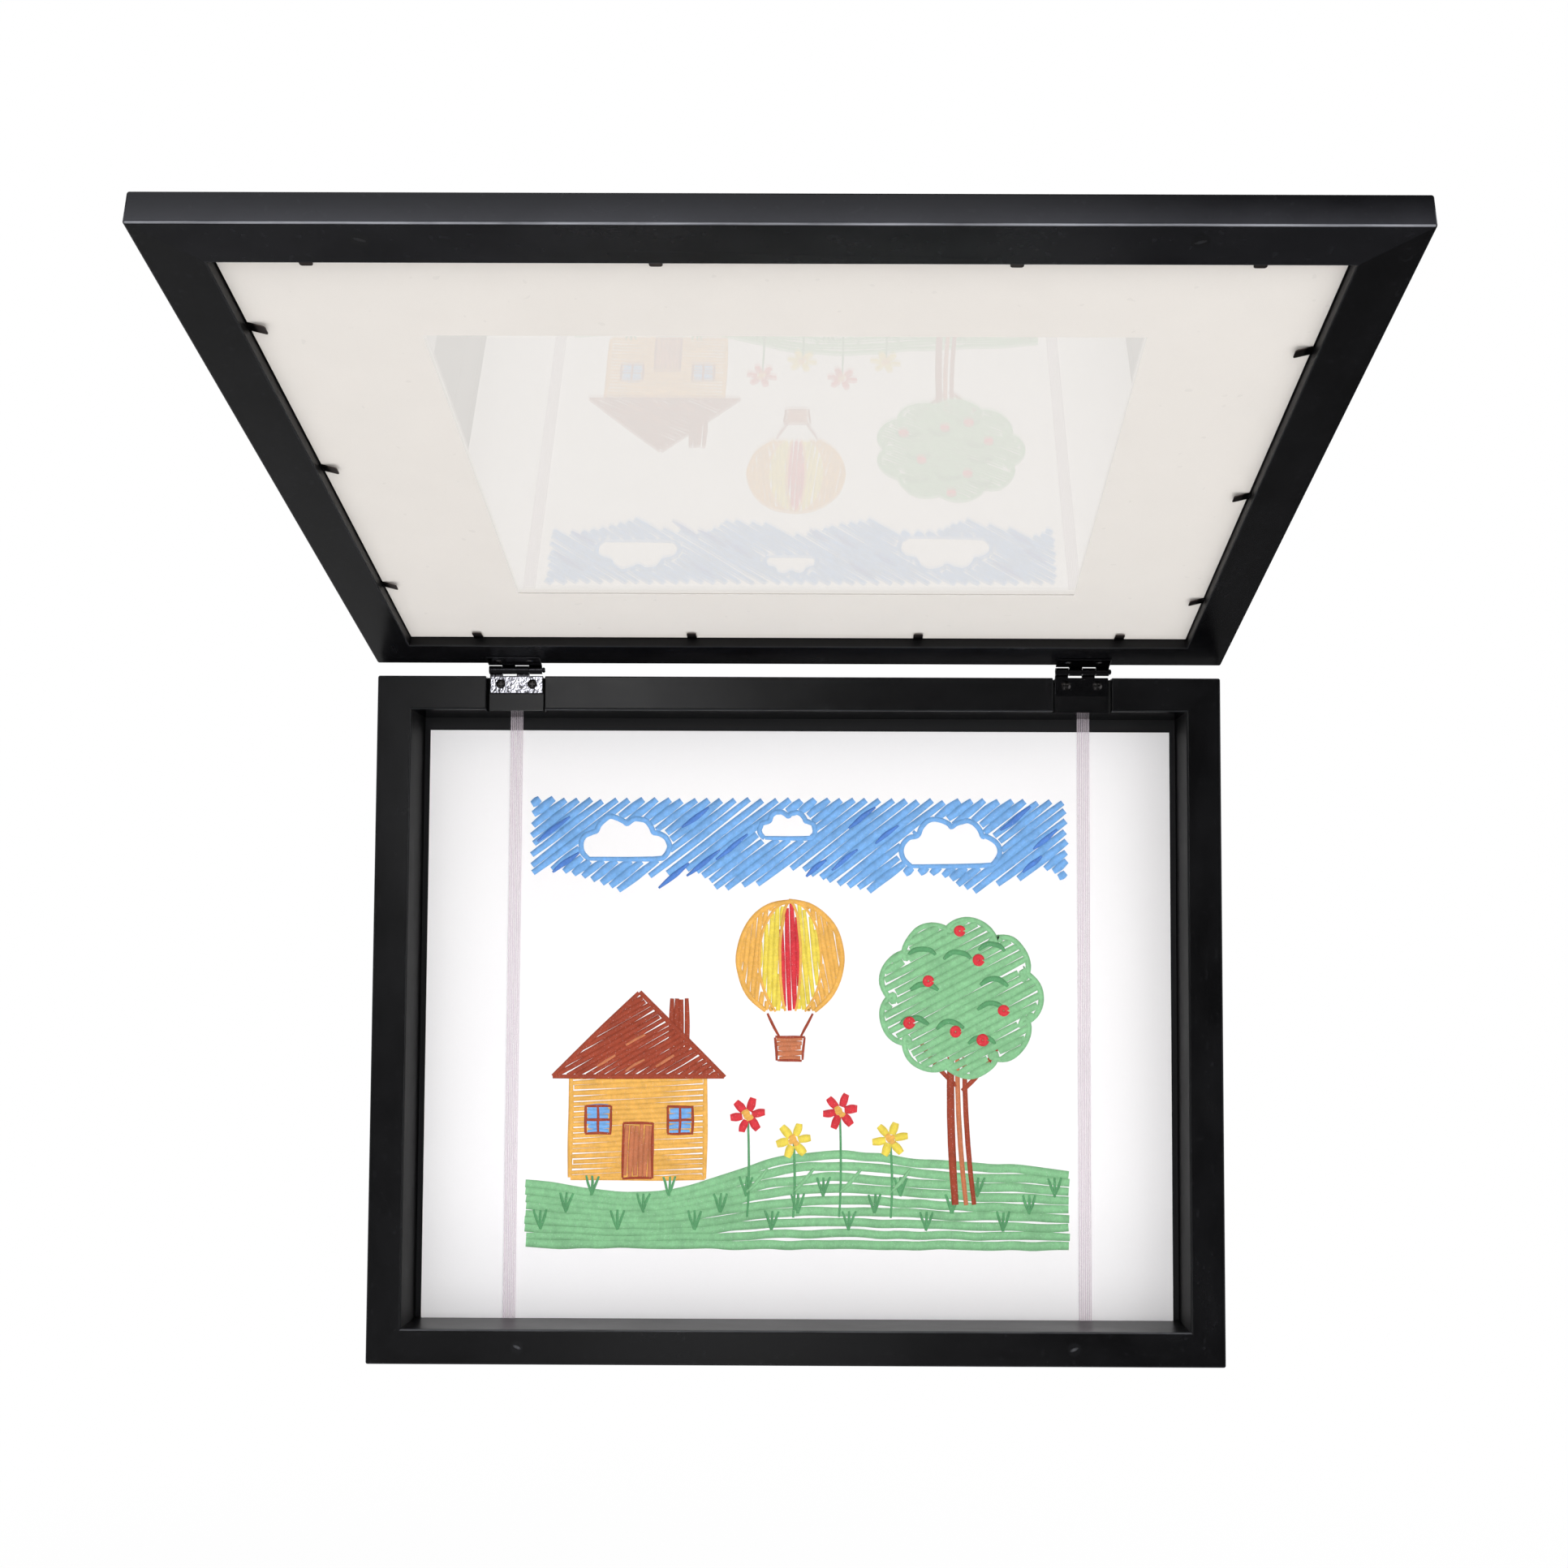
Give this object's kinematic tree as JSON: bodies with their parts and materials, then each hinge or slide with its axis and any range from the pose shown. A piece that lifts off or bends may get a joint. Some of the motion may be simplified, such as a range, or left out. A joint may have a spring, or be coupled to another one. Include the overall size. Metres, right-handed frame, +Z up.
{
  "type": "children's art display frame",
  "caption": "Wall-hung front-opening storage frame for children's drawings: a glazed, matted lid hinged along the top of a shallow box with elastic straps.",
  "frame": {"origin": "on the wall plane, at the point under the centre tooth of the top hanger where the wall hook bears", "axes": "+X to the right as seen from the room, +Y into the wall, +Z up; the frame faces -Y. At rest the lid stands open, 105 degrees from shut, as pictured"},
  "size_m": [0.3938, 0.3472, 0.4162],
  "materials": {
    "black_timber": "satin black paint on timber",
    "panel_board": "thin hardboard, smooth brown back, black-painted front",
    "hinge_steel": "black nickel plated steel",
    "screw_steel": "bright plated steel",
    "tab_steel": "dark spring steel strip",
    "hanger_brass": "yellow zinc plated steel strip",
    "magnet": "plated disc",
    "paint_plug": "filler under satin black paint",
    "elastic": "ribbed translucent elastic",
    "glass": "clear polished float glass",
    "mat_board": "smooth off-white mat board",
    "paper": "matt white drawing paper"
  },
  "bodies": {
    "box": {"box_top_rail": "black_timber", "box_bottom_rail": "black_timber", "box_left_rail": "black_timber", "box_right_rail": "black_timber", "back_panel": "panel_board", "panel_points": "tab_steel", "stored_sheets": "paper", "drawing_sheet": "paper", "left_strap": "elastic", "right_strap": "elastic", "box_corner_brads": "tab_steel", "box_magnets": "magnet", "box_magnet_plugs": "paint_plug", "top_hanger": "hanger_brass", "side_hanger": "hanger_brass", "hanger_nails": "hanger_brass", "left_hinge_box_leaf": "hinge_steel", "left_hinge_pin": "hinge_steel", "right_hinge_box_leaf": "hinge_steel", "right_hinge_pin": "hinge_steel", "box_leaf_screws": "screw_steel"},
    "lid": {"lid_hinge_rail": "black_timber", "lid_free_rail": "black_timber", "lid_left_rail": "black_timber", "lid_right_rail": "black_timber", "left_hinge_lid_leaf": "hinge_steel", "right_hinge_lid_leaf": "hinge_steel", "glazing": "glass", "window_mat": "mat_board", "mat_tabs": "tab_steel", "lid_corner_brads": "tab_steel", "lid_magnets": "magnet", "lid_magnet_plugs": "paint_plug", "lid_leaf_screws": "screw_steel"}
  },
  "joints": [
    {"name": "lid_hinge", "type": "hinge", "parent": "box", "child": "lid", "pos_m": [0, -0.0383, 0.01084], "axis": [-1, 0, 0], "range_deg": [-105, 75]}
  ]
}
